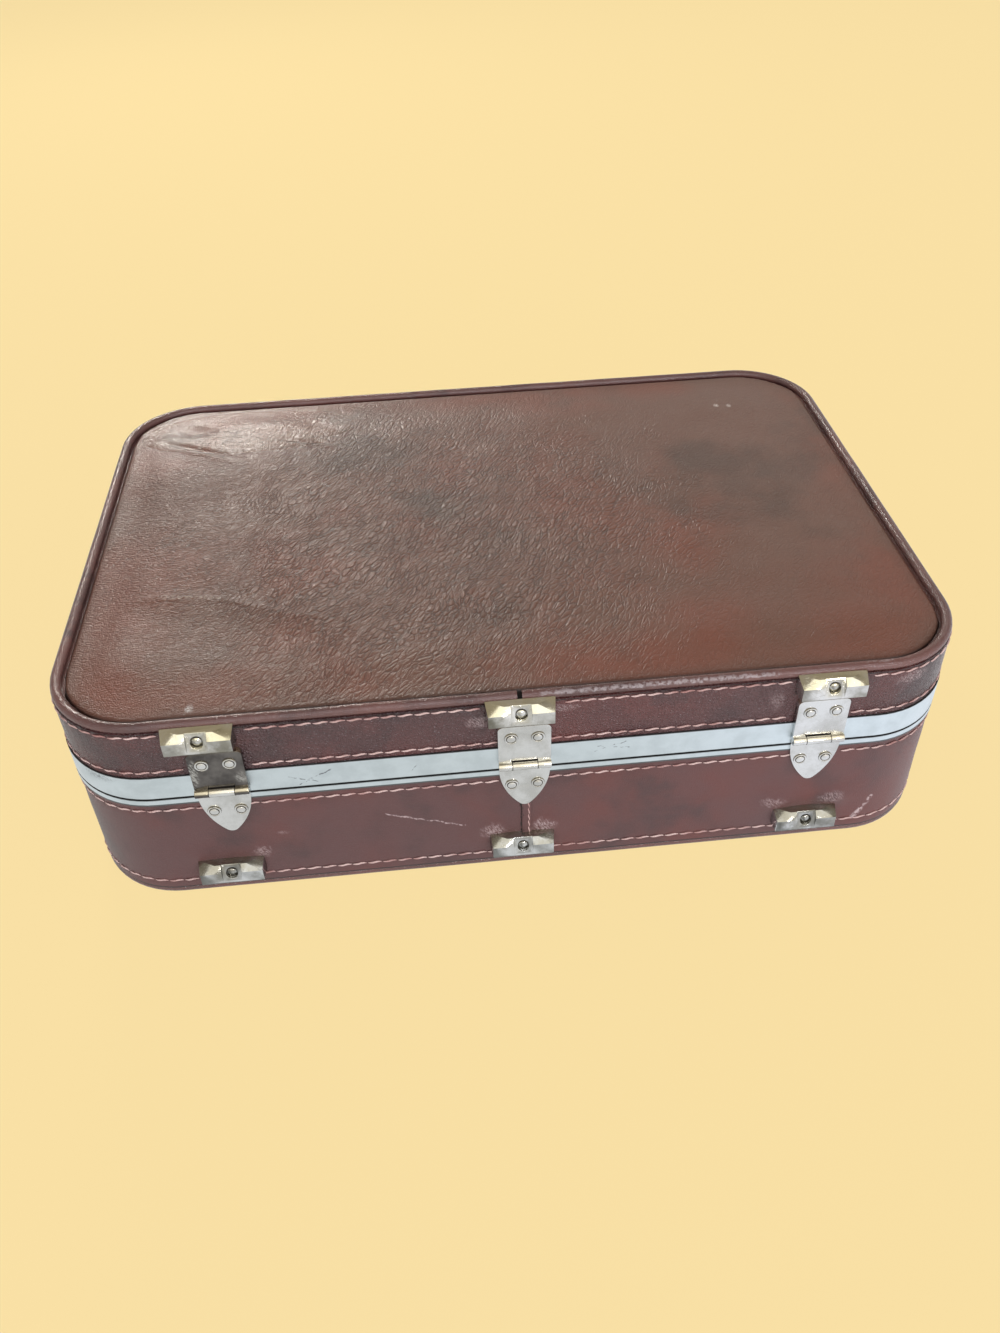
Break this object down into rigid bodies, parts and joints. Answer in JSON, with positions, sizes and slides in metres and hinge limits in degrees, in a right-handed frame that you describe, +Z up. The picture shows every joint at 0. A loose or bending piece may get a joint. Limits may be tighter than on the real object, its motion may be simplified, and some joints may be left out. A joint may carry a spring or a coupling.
{
  "type": "travel case",
  "caption": "Small hard case with a hinged padded lid, aluminium closure rims, hasp latches with sliding bolts, swinging handle, slotted lid stays and metal feet.",
  "frame": {"origin": "centre of the flat underside of the base, where the case lies on a surface", "axes": "+X along the width; -Y is the hinge wall with the feet; +Y is the handle and latch wall; +Z up through the lid"},
  "size_m": [0.5016, 0.37, 0.135],
  "materials": {
    "leathercloth": "grained oxblood leathercloth, worn satin",
    "piping": "smooth oxblood piping, satin",
    "aluminium_rim": "anodised satin",
    "nickel": "nickel plated pressed steel, lightly tarnished",
    "stay_steel": "zinc plated steel",
    "board": "plain plywood",
    "lining": "woven cloth lining",
    "wadding": "cotton wadding",
    "grip": "moulded grip, satin"
  },
  "bodies": {
    "base": {"base_wall": "board", "base_floor": "board", "base_wall_cover": "leathercloth", "base_floor_cover": "leathercloth", "base_welt": "piping", "base_frame": "aluminium_rim", "base_lining": "lining", "hinge_base_leaf_left": "nickel", "hinge_base_leaf_centre": "nickel", "hinge_base_leaf_right": "nickel", "hinge_pin_left": "nickel", "hinge_pin_centre": "nickel", "hinge_pin_right": "nickel", "hinge_base_rivets": "nickel", "base_foot_left": "nickel", "base_foot_centre": "nickel", "base_foot_right": "nickel", "base_foot_screws": "nickel", "lock_case_left": "nickel", "lock_case_right": "nickel", "lock_rivets": "nickel", "handle_bracket_left": "nickel", "handle_bracket_right": "nickel", "handle_rivets": "nickel", "stay_studs": "stay_steel"},
    "lid": {"lid_wall": "board", "lid_top": "board", "lid_padding": "wadding", "lid_wall_cover": "leathercloth", "lid_panel_cover": "leathercloth", "lid_welt": "piping", "lid_frame": "aluminium_rim", "lid_lining": "lining", "hinge_lid_leaf_left": "nickel", "hinge_lid_leaf_centre": "nickel", "hinge_lid_leaf_right": "nickel", "hinge_lid_rivets": "nickel", "lid_foot_left": "nickel", "lid_foot_centre": "nickel", "lid_foot_right": "nickel", "lid_foot_screws": "nickel", "hasp_plate_left": "nickel", "hasp_plate_right": "nickel", "hasp_pins": "nickel", "hasp_plate_rivets": "nickel", "stay_pivots": "stay_steel"},
    "hasp_left": {"hasp_left": "nickel"},
    "hasp_right": {"hasp_right": "nickel"},
    "slide_left": {"lock_slide_left": "nickel"},
    "slide_right": {"lock_slide_right": "nickel"},
    "handle": {"handle_grip": "grip", "handle_bail": "nickel"},
    "stay_left": {"stay_arm_left": "stay_steel"},
    "stay_right": {"stay_arm_right": "stay_steel"}
  },
  "joints": [
    {"name": "lid_hinge", "type": "hinge", "parent": "base", "child": "lid", "pos_m": [0, -0.176, 0.0868], "axis": [1, 0, 0], "range_deg": [0, 95]},
    {"name": "stay_left_turn", "type": "hinge", "parent": "lid", "child": "stay_left", "pos_m": [-0.2325, -0.12881, 0.0957], "axis": [1, 0, 0], "range_deg": [-47.5, 0]},
    {"name": "stay_right_turn", "type": "hinge", "parent": "lid", "child": "stay_right", "pos_m": [0.2325, -0.12881, 0.0957], "axis": [1, 0, 0], "range_deg": [-47.5, 0]},
    {"name": "hasp_left_turn", "type": "hinge", "parent": "lid", "child": "hasp_left", "pos_m": [-0.107, 0.1764, 0.12], "axis": [1, 0, 0], "range_deg": [0, 110]},
    {"name": "hasp_right_turn", "type": "hinge", "parent": "lid", "child": "hasp_right", "pos_m": [0.107, 0.1764, 0.12], "axis": [1, 0, 0], "range_deg": [0, 110]},
    {"name": "bolt_left_slide", "type": "slide", "parent": "base", "child": "slide_left", "axis": [1, 0, 0], "range_m": [0, 0.008]},
    {"name": "bolt_right_slide", "type": "slide", "parent": "base", "child": "slide_right", "axis": [-1, 0, 0], "range_m": [0, 0.008]},
    {"name": "handle_swing", "type": "hinge", "parent": "base", "child": "handle", "pos_m": [0, 0.182, 0.05], "axis": [1, 0, 0], "range_deg": [0, 180]}
  ],
  "couplings": [
    {"joint": "stay_left_turn", "follows": "lid_hinge", "ratio": -0.5},
    {"joint": "stay_right_turn", "follows": "lid_hinge", "ratio": -0.5}
  ]
}
